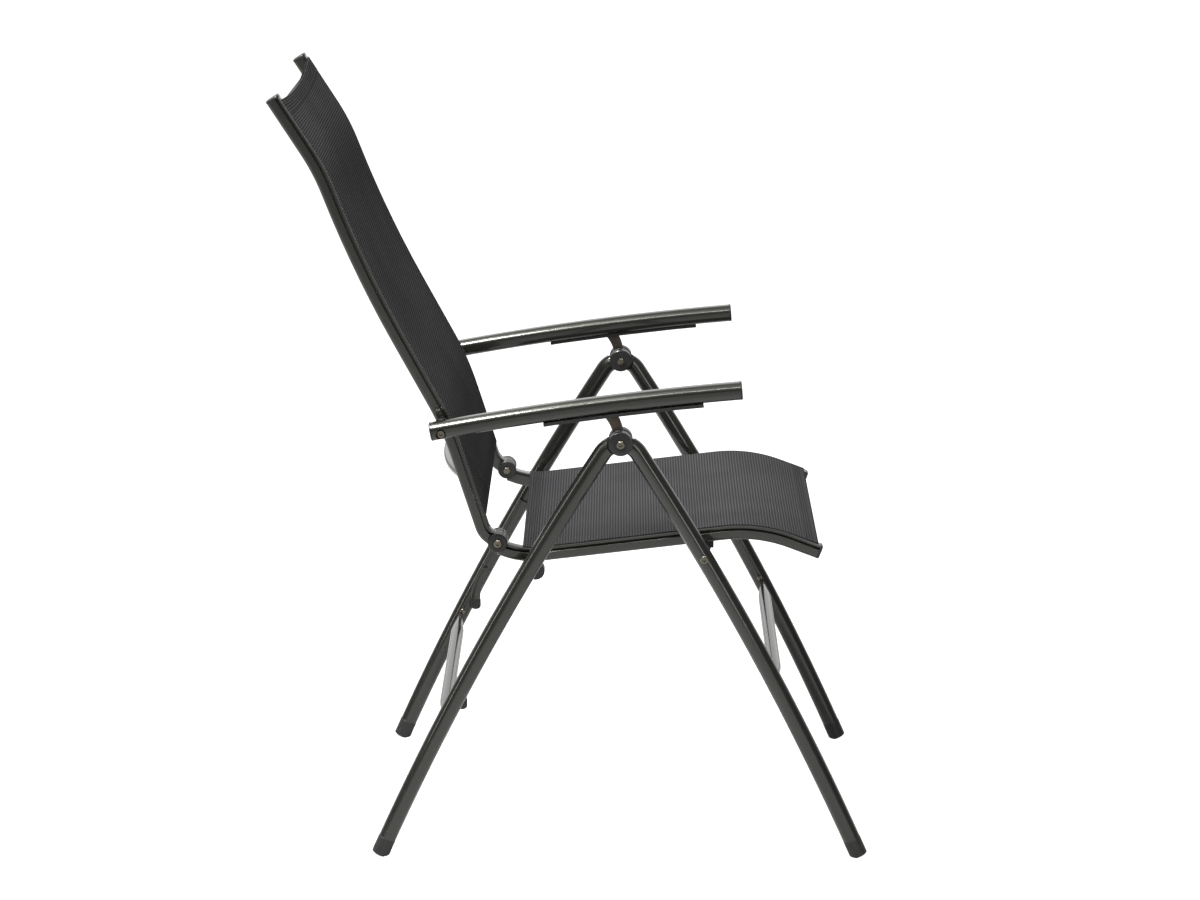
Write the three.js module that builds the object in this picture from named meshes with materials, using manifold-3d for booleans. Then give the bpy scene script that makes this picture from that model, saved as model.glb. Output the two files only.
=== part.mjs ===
// A folding patio chair with sling cloth on bent tube rails.
// Lengths are millimetres and angles are degrees.
// x runs from the back of the chair to the front, z runs up, and the right side is at negative y.
// Everything is placed from the top hinge, which stands at x = 0 above the middle of the feet.
import * as THREE from "three";
import { mergeVertices } from "three/addons/utils/BufferGeometryUtils.js";
import Module from "manifold-3d";

const wasm = await Module();
wasm.setup();

// The three upright planes that each side is built in.
const legPlane = 262;
const railPlane = 206.5;
const armPlane = 259;

// Legs.
const hingeHeight = 620.4;
const legTube = 25.5;
const legWall = 1.6;
const bendSteps = 3;
const bowSteps = 7;
const legRootOut = 8;
const legRootDrop = 4.4;
const legRootSlope = 15;
const legCutSlope = 36;
const legTopSlope = 57.27;
const legBendRadius = 30;
const legBowRadius = 4300;
const footCapHeight = 15;
const plugDepth = 14;
const plugLead = 2;
const rearCrossHeight = 207.7;
const frontCrossHeight = 263.6;
const crossTube = 20;
const crossTip = 9;
const crossTaper = 110;

// Top hinge.
const topDisc = 34;
const topHalfWidth = 20;
const topClear = 40.2;
const lapGap = 3.3;
const hookThickness = 5;
const hookEye = 25;
const hookWidth = 15;
const hookLength = 18;
const hookSlope = 104;
const hookBendRadius = 60;
const hookBendAngle = 30;

// Bolts.
const boltShaft = 6;
const boltHole = 6.8;
const boltHead = 12;
const boltHeadHeight = 4;
const nutWidth = 11;
const nutHeight = 5;
const socketWidth = 5;
const socketDepth = 2.4;

// Seat.
const seatPivotDrop = 169.4;
const railDepth = 20;
const railWidth = 22;
const railCorner = 5;
const railWall = 2;
const railHingeX = -175.6;
const railHingeDrop = 161.2;
const seatStartX = -164.8;
const seatStartDrop = 174.3;
const seatStartSlope = -20.3;
const seatDipRadius = 108;
const seatSlope = 7;
const seatFlat = 263;
const seatBendRadius = 205;
const seatEndSlope = -20.9;
const seatNose = 42;
const railCap = 4;
const railPlug = 12;
const neckLength = 9;
const bracketRadius = 11;
const bracketInner = 199;
const bracketOuter = 214;
const bracketWidth = 30;
const pivotCollar = 16;
const blockLug = 5;
const seatSlingStart = 24;
const seatSlingEnd = 4;
const slingThickness = 2.4;
const slingInset = 1.6;
const spreaderTube = 16;
const spreaderDrop = 3;
const frontSpreaderShare = 0.9;
const rearSpreaderShare = 0.36;
const blockX = -121;
const blockDrop = 24.6;
const blockRadius = 13;
const blockInner = 218.8;
const blockOuter = 236;

// Back and seat hinge.
const backDisc = 28;
const backHalfWidth = 18;
const backSpacer = 5;

// Back.
const backRootX = -188.6;
const backRootDrop = 153.7;
const backRootAngle = 141;
const backLowAngle = 107.85;
const backRootRadius = 30;
const backRootStraight = 114.7;
const backLeanRadius = 445;
const backLeanAngle = 10.55;
const backLeanStraight = 102;
const backRiseRadius = 1700;
const backRiseAngle = 7.8;
const backCrownRadius = 320;
const backCrownAngle = 12;
const backCrownStraight = 83;
const backSlingStart = 33;
const backSlingEnd = 5;
const lowBarAlong = 95.3;
const lowBarTube = 15;
const lowBarBow = 34;
const highBarSetback = 128.8;
const armPivotX = -253;
const armPivotRise = 11.1;

// Arms.
const armDepth = 25;
const armWidth = 27;
const armCorner = 10;
const armWall = 2;
const armRearX = -265.7;
const armRearRise = 12.9;
const armRearSlope = 10.9;
const armFrontSlope = 5;
const armLength = 438;
const rackStart = 157;
const rackLength = 228;
const rackDepth = 5;
const rackWidth = 15;
const rackSlot = 7;
const armRecess = 15.5;
const armRecessDepth = 7.5;
const armSleeve = 20;
const armCap = 3;
const armPlug = 2;
const armPlugLong = 14;
const hookAlongArm = 254;
const hookTipGap = 5.6;
const rackWall = 1;
const bushDiameter = 24;

// Stay bars on the rear legs, and the corners of all flat strips.
const stayWidth = 15;
const stayThickness = 4;
const stayTopRise = 186.3;
const stayKneeRise = 60.3;
const stayBendAngle = 20;
const stayBendRadius = 80;
const stayTail = 11;
const stripCorner = 1;

// Clearances and counts.
const gap = 0.3;
const slack = 0.5;
const overrun = 4;
const roundSides = 12;
const discSides = 16;
const nutSides = 6;
const cornerSteps = 2;
const turnStepAngle = 9;
const longTurnStepAngle = 2.4;
const barSteps = 12;
const weld = 1e-4;

const railHingeZ = hingeHeight - railHingeDrop;
const armPivotZ = hingeHeight + armPivotRise;

const half = (value) => value / 2;
const toRadians = THREE.MathUtils.degToRad;
const toDegrees = THREE.MathUtils.radToDeg;

// A run is a list of places in an x-z plane, each with the heading of the tube there.
function ahead(length) {
  return (place) => [{
    x: place.x + length * Math.cos(place.heading),
    z: place.z + length * Math.sin(place.heading),
    heading: place.heading,
  }];
}

// A positive angle turns left, seen with x to the right and z up.
function turn(radius, angle, step = turnStepAngle) {
  return (place) => {
    const pieces = Math.max(1, Math.ceil(Math.abs(angle) / step));
    const part = toRadians(angle) / pieces;
    const chord = 2 * radius * Math.sin(half(Math.abs(part)));
    const places = [];
    let last = place;
    for (let piece = 0; piece < pieces; piece += 1) {
      const along = last.heading + half(part);
      last = {
        x: last.x + chord * Math.cos(along),
        z: last.z + chord * Math.sin(along),
        heading: last.heading + part,
      };
      places.push(last);
    }
    return places;
  };
}

function walk(x, z, heading, moves) {
  const run = [{ x, z, heading: toRadians(heading) }];
  moves.forEach((move) => run.push(...move(run.at(-1))));
  return run;
}

function spacing(a, b) {
  return Math.hypot(b.x - a.x, b.z - a.z);
}

function runLength(run) {
  return run.slice(1).reduce((sum, place, index) => sum + spacing(run[index], place), 0);
}

function between(a, b, share) {
  return {
    x: THREE.MathUtils.lerp(a.x, b.x, share),
    z: THREE.MathUtils.lerp(a.z, b.z, share),
    heading: THREE.MathUtils.lerp(a.heading, b.heading, share),
  };
}

function placeAfter(run, distance) {
  let left = distance;
  for (let index = 1; index < run.length - 1; index += 1) {
    const step = spacing(run[index - 1], run[index]);
    if (left <= step) {
      return between(run[index - 1], run[index], left / step);
    }
    left -= step;
  }
  const [a, b] = run.slice(-2);
  return between(a, b, left / spacing(a, b));
}

// The piece of a run from one distance to another.
function pieceOf(run, from, to) {
  let travelled = 0;
  const inner = run.filter((place, index) => {
    travelled += index ? spacing(run[index - 1], place) : 0;
    return travelled > from + gap && travelled < to - gap;
  });
  return [placeAfter(run, from), ...inner, placeAfter(run, to)];
}

// Moves a place forward along its heading and to its left.
function shifted(place, forward, left) {
  const across = Math.cos(place.heading);
  const upward = Math.sin(place.heading);
  return {
    x: place.x + forward * across - left * upward,
    z: place.z + forward * upward + left * across,
    heading: place.heading,
  };
}

function straight(place, from, to) {
  return [shifted(place, from, 0), shifted(place, to, 0)];
}

// A sweep path that puts one section at each place of a run.
class Route extends THREE.Curve {
  constructor(run, plane) {
    super();
    this.run = run;
    this.plane = plane;
  }

  placeAt(t) {
    return this.run[Math.round(t * (this.run.length - 1))];
  }

  getPoint(t, target = new THREE.Vector3()) {
    const place = this.placeAt(t);
    return target.set(place.x, -this.plane, place.z);
  }

  getTangent(t, target = new THREE.Vector3()) {
    const { heading } = this.placeAt(t);
    return target.set(Math.cos(heading), 0, Math.sin(heading));
  }

  getUtoTmapping(u) {
    return u;
  }
}

function roundOutline(diameter) {
  const points = [];
  for (let side = 0; side < roundSides; side += 1) {
    const angle = (2 * Math.PI * side) / roundSides;
    points.push(new THREE.Vector2(Math.cos(angle), Math.sin(angle)).multiplyScalar(half(diameter)));
  }
  return points;
}

function barOutline(width, depth, corner) {
  const points = [];
  for (let side = 0; side < 4; side += 1) {
    for (let step = 0; step <= cornerSteps; step += 1) {
      const angle = half(Math.PI) * (side + step / cornerSteps);
      const middle = half(Math.PI) * (side + half(1));
      const x = Math.sign(Math.cos(middle)) * (half(width) - corner) + corner * Math.cos(angle);
      const y = Math.sign(Math.sin(middle)) * (half(depth) - corner) + corner * Math.sin(angle);
      points.push(new THREE.Vector2(x, y));
    }
  }
  return points;
}

function sweep(run, plane, outline, hole) {
  const section = new THREE.Shape(outline);
  if (hole) {
    section.holes.push(new THREE.Path(hole));
  }
  return new THREE.ExtrudeGeometry(section, {
    steps: run.length - 1,
    extrudePath: new Route(run, plane),
    bevelEnabled: false,
  });
}

// A flat plate: an outline in x and z, and the two distances from the middle plane that it fills.
function plate(outline, inner, outer) {
  const shape = new THREE.Shape(outline.map(({ x, z }) => new THREE.Vector2(x, z)));
  const geometry = new THREE.ExtrudeGeometry(shape, { depth: outer - inner, bevelEnabled: false });
  geometry.rotateX(half(Math.PI));
  geometry.translate(0, -inner, 0);
  return geometry;
}

function disc(x, z, diameter, inner, outer, sides = discSides) {
  const geometry = new THREE.CylinderGeometry(half(diameter), half(diameter), outer - inner, sides);
  geometry.translate(x, -half(inner + outer), z);
  return geometry;
}

function box(x, z, length, height, inner, outer) {
  const geometry = new THREE.BoxGeometry(length, outer - inner, height);
  geometry.translate(x, -half(inner + outer), z);
  return geometry;
}

function solidOf(geometry) {
  const bare = geometry.clone();
  bare.deleteAttribute("normal");
  bare.deleteAttribute("uv");
  const merged = mergeVertices(bare, weld);
  return new wasm.Manifold(new wasm.Mesh({
    numProp: 3,
    vertProperties: new Float32Array(merged.attributes.position.array),
    triVerts: new Uint32Array(merged.index.array),
  }));
}

function geometryOf(solid) {
  const surface = solid.getMesh();
  const geometry = new THREE.BufferGeometry();
  const positions = new Float32Array(surface.vertProperties);
  geometry.setAttribute("position", new THREE.BufferAttribute(positions, 3));
  geometry.setIndex(new THREE.BufferAttribute(new Uint32Array(surface.triVerts), 1));
  return geometry;
}

function join(...geometries) {
  return geometryOf(geometries.map(solidOf).reduce((sum, next) => sum.add(next)));
}

function cut(body, ...tools) {
  return geometryOf(tools.map(solidOf).reduce((rest, tool) => rest.subtract(tool), solidOf(body)));
}

function common(a, b) {
  return geometryOf(solidOf(a).intersect(solidOf(b)));
}

// A bolt across the chair, with its nut on the inner face and its socket head on the outer face.
function bolt(x, z, inner, outer, head = boltHead) {
  const headTop = outer + gap + boltHeadHeight;
  const nutEnd = inner - gap - nutHeight;
  const body = join(
    disc(x, z, head, outer + gap, headTop, roundSides),
    disc(x, z, boltShaft, nutEnd + gap, headTop - socketDepth - gap, roundSides),
    disc(x, z, nutWidth, nutEnd, inner - gap, nutSides),
  );
  return cut(body, disc(x, z, socketWidth, headTop - socketDepth, headTop + overrun, nutSides));
}

// Legs: side is 1 for the front leg and -1 for the rear leg, and a slope is an angle below level.
function legPlace(side, slope) {
  const cosine = (angle) => Math.cos(toRadians(angle));
  const sine = (angle) => Math.sin(toRadians(angle));
  const bend = Math.min(slope, legTopSlope);
  const bow = Math.max(slope, legTopSlope);
  const out = legRootOut
    + legBendRadius * (sine(bend) - sine(legRootSlope))
    + legBowRadius * (sine(bow) - sine(legTopSlope));
  const down = legRootDrop
    + legBendRadius * (cosine(legRootSlope) - cosine(bend))
    + legBowRadius * (cosine(legTopSlope) - cosine(bow));
  const heading = side > 0 ? -toRadians(slope) : Math.PI + toRadians(slope);
  return { x: side * out, z: hingeHeight - down, heading };
}

function legSlopeAtHeight(height) {
  const bendEnd = legPlace(1, legTopSlope).z;
  const cosine = Math.cos(toRadians(legTopSlope)) - (bendEnd - height) / legBowRadius;
  return toDegrees(Math.acos(cosine));
}

function legPlaceAtHeight(side, height) {
  return legPlace(side, legSlopeAtHeight(height));
}

function slopesBetween(from, to, steps) {
  return Array.from({ length: steps }, (unused, step) => from + ((to - from) * step) / steps);
}

function legRun(side) {
  const foot = legSlopeAtHeight(footCapHeight);
  const slopes = [
    ...slopesBetween(legCutSlope, legTopSlope, bendSteps),
    ...slopesBetween(legTopSlope, foot, bowSteps),
    foot,
  ];
  return slopes.map((slope) => legPlace(side, slope));
}

const legBore = legTube - 2 * legWall;

function leg(side) {
  return sweep(legRun(side), legPlane, roundOutline(legTube), roundOutline(legBore));
}

function frontLeg() {
  const pivot = seatPivot();
  const hole = disc(
    pivot.x, pivot.z, boltHole, legPlane - legTube, legPlane + legTube, roundSides,
  );
  return cut(leg(1), hole);
}

function footCap(side) {
  const end = legPlaceAtHeight(side, footCapHeight);
  const shell = sweep(straight(end, gap, 2 * footCapHeight), legPlane, roundOutline(legTube));
  const plug = sweep(
    straight(end, -plugDepth, half(footCapHeight)), legPlane, roundOutline(legBore - 2 * gap),
  );
  const floor = box(end.x, -legTube, 4 * legTube, 2 * legTube, legPlane - legTube, legPlane + legTube);
  return cut(join(shell, plug), floor);
}

// The outer half of the top hinge belongs to the front leg and the inner half to the rear leg.
function topKnuckle(side) {
  const inner = side > 0 ? legPlane + lapGap : legPlane - topHalfWidth;
  const outer = side > 0 ? legPlane + topHalfWidth : legPlane - lapGap;
  const clearInner = side > 0 ? legPlane - topHalfWidth - overrun : outer;
  const clearOuter = side > 0 ? inner : legPlane + topHalfWidth + overrun;
  const neckSlopes = slopesBetween(legRootSlope, legCutSlope, bendSteps);
  const neckRun = [...neckSlopes, legCutSlope].map((slope) => legPlace(side, slope));
  const end = neckRun.at(-1);
  neckRun.splice(-1, 1, shifted(end, -gap, 0));
  const plugRun = pieceOf(legRun(side), 0, plugDepth);
  plugRun.unshift(shifted(end, -plugLead, 0));
  const body = join(
    disc(0, hingeHeight, topDisc, inner, outer),
    sweep(neckRun, legPlane, roundOutline(legTube)),
    sweep(plugRun, legPlane, roundOutline(legBore - 2 * gap)),
  );
  return cut(
    body,
    disc(0, hingeHeight, topClear, clearInner, clearOuter),
    disc(0, hingeHeight, boltHole, clearInner, legPlane + topHalfWidth + overrun, roundSides),
    disc(0, hingeHeight, boltHole, legPlane - topHalfWidth - overrun, clearOuter, roundSides),
  );
}

function topBolt() {
  return bolt(0, hingeHeight, legPlane - topHalfWidth, legPlane + topHalfWidth);
}

// A cross tube of the legs, with pinched ends, between the inner sides of the two legs.
function legCrossTube(side, height) {
  const { x, z } = legPlaceAtHeight(side, height);
  const end = legPlane - half(legTube) - gap;
  const profile = [
    new THREE.Vector2(0, -end),
    new THREE.Vector2(half(crossTip), -end),
    new THREE.Vector2(half(crossTube), crossTaper - end),
    new THREE.Vector2(half(crossTube), end - crossTaper),
    new THREE.Vector2(half(crossTip), end),
    new THREE.Vector2(0, end),
  ];
  const geometry = new THREE.LatheGeometry(profile, roundSides);
  geometry.translate(x, 0, z);
  return geometry;
}

function stayBar() {
  const outer = legPlane - half(legTube) - gap;
  const inner = outer - stayThickness;
  const kneeSlope = legSlopeAtHeight(rearCrossHeight + stayKneeRise);
  const topSlope = legSlopeAtHeight(rearCrossHeight + stayTopRise);
  const upper = [...slopesBetween(topSlope, kneeSlope, bendSteps), kneeSlope]
    .map((slope) => legPlace(-1, slope));
  const knee = upper.at(-1);
  const lower = walk(knee.x, knee.z, toDegrees(knee.heading), [
    turn(stayBendRadius, stayBendAngle),
    ahead(stayTail),
  ]);
  const tip = lower.at(-1);
  const run = [...upper, ...lower.slice(1)];
  const middle = half(inner + outer);
  return join(
    sweep(run, middle, barOutline(stayThickness, stayWidth, stripCorner)),
    disc(tip.x, tip.z, stayWidth, inner, outer),
  );
}

// Seat rails, from the back hinge to the nose.
function seatRun() {
  return walk(seatStartX, hingeHeight - seatStartDrop, seatStartSlope, [
    turn(seatDipRadius, seatSlope - seatStartSlope),
    ahead(seatFlat),
    turn(seatBendRadius, seatEndSlope - seatSlope),
    ahead(seatNose),
  ]);
}

function seatPivot() {
  const z = hingeHeight - seatPivotDrop;
  return { x: legPlaceAtHeight(1, z).x, z };
}

const railSection = () => barOutline(railWidth, railDepth, railCorner);
const railBore = (spare) => barOutline(
  railWidth - 2 * railWall - spare, railDepth - 2 * railWall - spare, railCorner - railWall,
);

function rail(run) {
  return sweep(run, railPlane, railSection(), railBore(0));
}

function railEndCap(run) {
  const end = run.at(-1);
  return join(
    sweep(straight(end, gap, railCap), railPlane, railSection()),
    sweep(straight(end, -railPlug, half(railCap)), railPlane, railBore(2 * gap)),
  );
}

// The seat rail holds the outer half of the back hinge and the back rail the inner half.
function railKnuckle(run, isSeat) {
  const lap = half(backSpacer) + gap;
  const inner = isSeat ? railPlane + lap : railPlane - backHalfWidth;
  const outer = isSeat ? railPlane + backHalfWidth : railPlane - lap;
  const clearInner = isSeat ? railPlane - backHalfWidth - overrun : outer;
  const clearOuter = isSeat ? inner : railPlane + backHalfWidth + overrun;
  const start = run[0];
  const plugRun = [shifted(start, -plugLead, 0), ...pieceOf(run, 0, railPlug)];
  const body = join(
    disc(railHingeX, railHingeZ, backDisc, inner, outer),
    sweep(straight(start, -neckLength, -gap), railPlane, railSection()),
    sweep(plugRun, railPlane, railBore(2 * gap)),
  );
  return cut(
    body,
    disc(railHingeX, railHingeZ, backDisc + 2 * slack, clearInner, clearOuter),
    disc(
      railHingeX, railHingeZ, boltHole,
      railPlane - backHalfWidth - overrun, railPlane + backHalfWidth + overrun, roundSides,
    ),
  );
}

// The steel spacer between the two halves of the back hinge.
function backHingeSpacer() {
  const inner = railPlane - half(backSpacer);
  const outer = railPlane + half(backSpacer);
  return cut(
    disc(railHingeX, railHingeZ, backDisc, inner, outer),
    disc(railHingeX, railHingeZ, boltHole, inner - overrun, outer + overrun, roundSides),
  );
}

function backHingeBolt() {
  return bolt(railHingeX, railHingeZ, railPlane - backHalfWidth, railPlane + backHalfWidth);
}

// The bracket under the seat rail that the seat turns on, and its bolt through the front leg.
function seatPivotBracket() {
  const { x, z } = seatPivot();
  const lug = box(x, z + half(railDepth), bracketWidth, railDepth, bracketInner, bracketOuter);
  const body = join(
    disc(x, z, 2 * bracketRadius, bracketInner, bracketOuter),
    lug,
  );
  const clear = barOutline(railWidth + 2 * gap, railDepth + 2 * gap, railCorner + gap);
  const above = box(
    x, z + 2 * railDepth, 4 * railDepth, 2 * railDepth, bracketInner - overrun, bracketOuter + overrun,
  );
  return cut(
    body,
    sweep(seatRun(), railPlane, clear),
    above,
    disc(x, z, boltHole, bracketInner - overrun, bracketOuter + overrun, roundSides),
  );
}

function seatPivotBolt() {
  const { x, z } = seatPivot();
  const collar = disc(x, z, pivotCollar, bracketOuter + gap, legPlane - half(legTube) - gap);
  return join(bolt(x, z, bracketInner, legPlane + half(legTube)), collar);
}

function seatBlock() {
  const face = railPlane + half(railWidth) + gap;
  const z = hingeHeight - seatStartDrop - blockDrop;
  return join(
    disc(blockX, z, 2 * blockRadius, blockInner, blockOuter),
    box(blockX, z + half(blockDrop), blockRadius, blockDrop, face, face + blockLug),
  );
}

// A sling held in the two rails: side is 1 when it lies on the left of the run and -1 on the right.
function sling(run, start, end, side) {
  const length = runLength(run);
  const held = pieceOf(run, start, length - end);
  const top = half(railDepth) - slingInset;
  const face = held.map((place) => shifted(place, 0, side * top));
  const under = held.map((place) => shifted(place, 0, side * (top - slingThickness)));
  const edge = railPlane - half(railWidth) - gap;
  return plate([...face, ...under.reverse()], -edge, edge);
}

function crossBar(place, diameter, drop) {
  const { x, z } = shifted(place, 0, drop);
  const edge = railPlane - half(railWidth) - gap;
  return disc(x, z, diameter, -edge, edge, roundSides);
}

function seatSpreader(share) {
  const run = seatRun();
  return crossBar(placeAfter(run, share * runLength(run)), spreaderTube, -spreaderDrop);
}

// Back rails, from the back hinge to the crown.
function backRun() {
  return walk(backRootX, hingeHeight - backRootDrop, backRootAngle, [
    turn(backRootRadius, backLowAngle - backRootAngle),
    ahead(backRootStraight),
    turn(backLeanRadius, backLeanAngle, longTurnStepAngle),
    ahead(backLeanStraight),
    turn(backRiseRadius, -backRiseAngle, longTurnStepAngle),
    turn(backCrownRadius, backCrownAngle, longTurnStepAngle),
    ahead(backCrownStraight),
  ]);
}

function backRail() {
  const hole = disc(
    armPivotX, armPivotZ, boltHole, railPlane - railWidth, railPlane + railWidth, roundSides,
  );
  return cut(rail(backRun()), hole);
}

// The bowed bar low on the back, behind the sling.
function lowBackBar() {
  const place = placeAfter(backRun(), lowBarAlong);
  const end = railPlane - half(railWidth) - gap;
  const reach = railPlane;
  const bowed = shifted(place, 0, 2 * lowBarBow);
  const path = new THREE.QuadraticBezierCurve3(
    new THREE.Vector3(place.x, -reach, place.z),
    new THREE.Vector3(bowed.x, 0, bowed.z),
    new THREE.Vector3(place.x, reach, place.z),
  );
  const bar = new THREE.ExtrudeGeometry(new THREE.Shape(roundOutline(lowBarTube)), {
    steps: barSteps,
    extrudePath: path,
    bevelEnabled: false,
  });
  const size = 4 * lowBarTube;
  return cut(
    bar,
    box(place.x, place.z, size, size, end, end + size),
    box(place.x, place.z, size, size, -end - size, -end),
  );
}

function highBackBar() {
  const run = backRun();
  const place = placeAfter(run, runLength(run) - highBarSetback);
  return crossBar(place, spreaderTube, spreaderDrop);
}

// Arms.
function armRun() {
  const turned = armFrontSlope - armRearSlope;
  const radius = armLength / toRadians(Math.abs(turned));
  return walk(armRearX, hingeHeight + armRearRise, armRearSlope, [
    turn(radius, turned, half(longTurnStepAngle)),
  ]);
}

const armSection = (spare) => barOutline(armWidth - spare, armDepth - spare, armCorner - half(spare));

function armTube() {
  const run = armRun();
  const shell = sweep(run, armPlane, armSection(0), armSection(2 * armWall));
  const face = armPlane + half(armWidth);
  const sleeve = disc(armPivotX, armPivotZ, armSleeve, armPlane - half(armWidth), face);
  const solid = sweep(run, armPlane, armSection(0));
  return cut(
    join(shell, common(sleeve, solid)),
    disc(armPivotX, armPivotZ, armRecess, face - armRecessDepth, face + overrun),
    disc(armPivotX, armPivotZ, boltHole, armPlane - armWidth, face, roundSides),
  );
}

function armCapAt(place, plug) {
  return join(
    sweep(straight(place, gap, armCap), armPlane, armSection(0)),
    sweep(straight(place, -plug, half(armCap)), armPlane, armSection(2 * armWall + 2 * gap)),
  );
}

function armFrontCap() {
  return armCapAt(armRun().at(-1), armPlugLong);
}

function armRearCap() {
  const end = armRun()[0];
  return armCapAt({ ...end, heading: end.heading + Math.PI }, armPlug);
}

// The channel under the arm that the hook strap slides in.
function armRack() {
  const depth = half(armDepth) + gap + half(rackDepth);
  const run = pieceOf(armRun(), rackStart, rackStart + rackLength)
    .map((place) => shifted(place, 0, -depth));
  const slotRun = [shifted(run[0], -overrun, 0), ...run.slice(1, -1), shifted(run.at(-1), overrun, 0)]
    .map((place) => shifted(place, 0, -rackWall));
  return cut(
    sweep(run, legPlane, barOutline(rackWidth, rackDepth, stripCorner)),
    sweep(slotRun, legPlane, barOutline(rackSlot, rackDepth, half(stripCorner))),
  );
}

function armPivotBush() {
  const inner = railPlane + half(railWidth) + gap;
  const outer = armPlane - half(armWidth) - gap;
  return cut(
    disc(armPivotX, armPivotZ, bushDiameter, inner, outer),
    disc(armPivotX, armPivotZ, boltHole, inner - overrun, outer + overrun, roundSides),
  );
}

function armPivotBolt() {
  const seat = armPlane + half(armWidth) - armRecessDepth;
  return bolt(armPivotX, armPivotZ, railPlane - half(railWidth), seat);
}

// The strap that stands up from the top hinge and hooks into the channel under the arm.
function hookStrap() {
  const inner = legPlane - half(hookThickness);
  const outer = legPlane + half(hookThickness);
  const run = walk(0, hingeHeight, hookSlope, [
    ahead(hookLength),
    turn(hookBendRadius, hookBendAngle),
  ]);
  const above = shifted(placeAfter(armRun(), hookAlongArm), 0, -half(armDepth) - hookTipGap);
  const size = 2 * armDepth;
  const lid = box(0, half(size), 2 * size, size, inner - overrun, outer + overrun);
  lid.rotateY(-above.heading);
  lid.translate(above.x, 0, above.z);
  return cut(
    join(
      disc(0, hingeHeight, hookEye, inner, outer),
      sweep(run, legPlane, barOutline(hookThickness, hookWidth, stripCorner)),
    ),
    lid,
    disc(0, hingeHeight, boltHole, inner - overrun, outer + overrun, roundSides),
  );
}

// Finishes: colour, roughness, metalness.
const powderCoat = ["#3a3b38", 0.38, 0.35];
const hingePlastic = ["#1c1d1b", 0.45, 0];
const steel = ["#8d8474", 0.32, 0.9];
const bronze = ["#4a4136", 0.4, 0.6];
const cloth = ["#3f4042", 0.85, 0];
const rubber = ["#191a19", 0.7, 0];

function mesh(name, geometry, [color, roughness, metalness]) {
  const part = new THREE.Mesh(
    geometry,
    new THREE.MeshStandardMaterial({ color, roughness, metalness }),
  );
  part.name = name;
  return part;
}

const rightSide = new THREE.Group();
const leftSide = new THREE.Group();
const middle = new THREE.Group();
leftSide.scale.y = -1;

function addPair(name, geometry, finish) {
  rightSide.add(mesh(`${name}_right`, geometry, finish));
  leftSide.add(mesh(`${name}_left`, geometry.clone(), finish));
}

addPair("front_leg", frontLeg(), powderCoat);
addPair("rear_leg", leg(-1), powderCoat);
addPair("front_foot_cap", footCap(1), rubber);
addPair("rear_foot_cap", footCap(-1), rubber);
addPair("front_knuckle", topKnuckle(1), hingePlastic);
addPair("rear_knuckle", topKnuckle(-1), hingePlastic);
addPair("top_hinge_bolt", topBolt(), steel);
addPair("hook_strap", hookStrap(), bronze);
addPair("stay_bar", stayBar(), powderCoat);
addPair("seat_rail", rail(seatRun()), powderCoat);
addPair("seat_end_cap", railEndCap(seatRun()), hingePlastic);
addPair("seat_knuckle", railKnuckle(seatRun(), true), hingePlastic);
addPair("seat_pivot_bracket", seatPivotBracket(), hingePlastic);
addPair("seat_pivot_bolt", seatPivotBolt(), steel);
addPair("seat_block", seatBlock(), hingePlastic);
addPair("back_hinge_bolt", backHingeBolt(), steel);
addPair("back_hinge_spacer", backHingeSpacer(), steel);
addPair("back_rail", backRail(), powderCoat);
addPair("back_end_cap", railEndCap(backRun()), hingePlastic);
addPair("back_knuckle", railKnuckle(backRun(), false), hingePlastic);
addPair("arm_pivot_bolt", armPivotBolt(), steel);
addPair("arm_pivot_bush", armPivotBush(), hingePlastic);
addPair("arm_tube", armTube(), powderCoat);
addPair("arm_front_cap", armFrontCap(), hingePlastic);
addPair("arm_rear_cap", armRearCap(), hingePlastic);
addPair("arm_rack", armRack(), hingePlastic);

middle.add(mesh("front_cross_tube", legCrossTube(1, frontCrossHeight), powderCoat));
middle.add(mesh("rear_cross_tube", legCrossTube(-1, rearCrossHeight), powderCoat));
middle.add(mesh("seat_sling", sling(seatRun(), seatSlingStart, seatSlingEnd, 1), cloth));
middle.add(mesh("seat_front_spreader", seatSpreader(frontSpreaderShare), powderCoat));
middle.add(mesh("seat_rear_spreader", seatSpreader(rearSpreaderShare), powderCoat));
middle.add(mesh("back_sling", sling(backRun(), backSlingStart, backSlingEnd, -1), cloth));
middle.add(mesh("back_low_bar", lowBackBar(), powderCoat));
middle.add(mesh("back_high_bar", highBackBar(), powderCoat));

const chair = new THREE.Group();
chair.add(rightSide, leftSide, middle);
const extent = new THREE.Box3().setFromObject(chair);
chair.position.x = -half(extent.min.x + extent.max.x);

const patioChair = new THREE.Group();
patioChair.name = "sling_patio_chair";
patioChair.add(chair);

export default patioChair;
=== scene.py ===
import math

import bpy
from mathutils import Matrix, Vector


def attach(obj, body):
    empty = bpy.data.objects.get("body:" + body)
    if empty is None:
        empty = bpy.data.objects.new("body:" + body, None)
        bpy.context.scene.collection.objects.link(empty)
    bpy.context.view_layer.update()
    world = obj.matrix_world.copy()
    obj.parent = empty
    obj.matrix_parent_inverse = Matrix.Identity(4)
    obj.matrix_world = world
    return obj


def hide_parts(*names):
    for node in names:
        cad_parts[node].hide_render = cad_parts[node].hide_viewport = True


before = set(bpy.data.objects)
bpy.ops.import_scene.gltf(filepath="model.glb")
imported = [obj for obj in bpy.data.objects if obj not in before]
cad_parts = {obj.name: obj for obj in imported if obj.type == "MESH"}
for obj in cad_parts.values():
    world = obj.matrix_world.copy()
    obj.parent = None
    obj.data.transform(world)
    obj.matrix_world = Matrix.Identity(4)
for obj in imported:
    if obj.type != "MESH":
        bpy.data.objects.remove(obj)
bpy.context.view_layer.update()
print("frame loaded:", len(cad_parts), "nodes")

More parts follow.
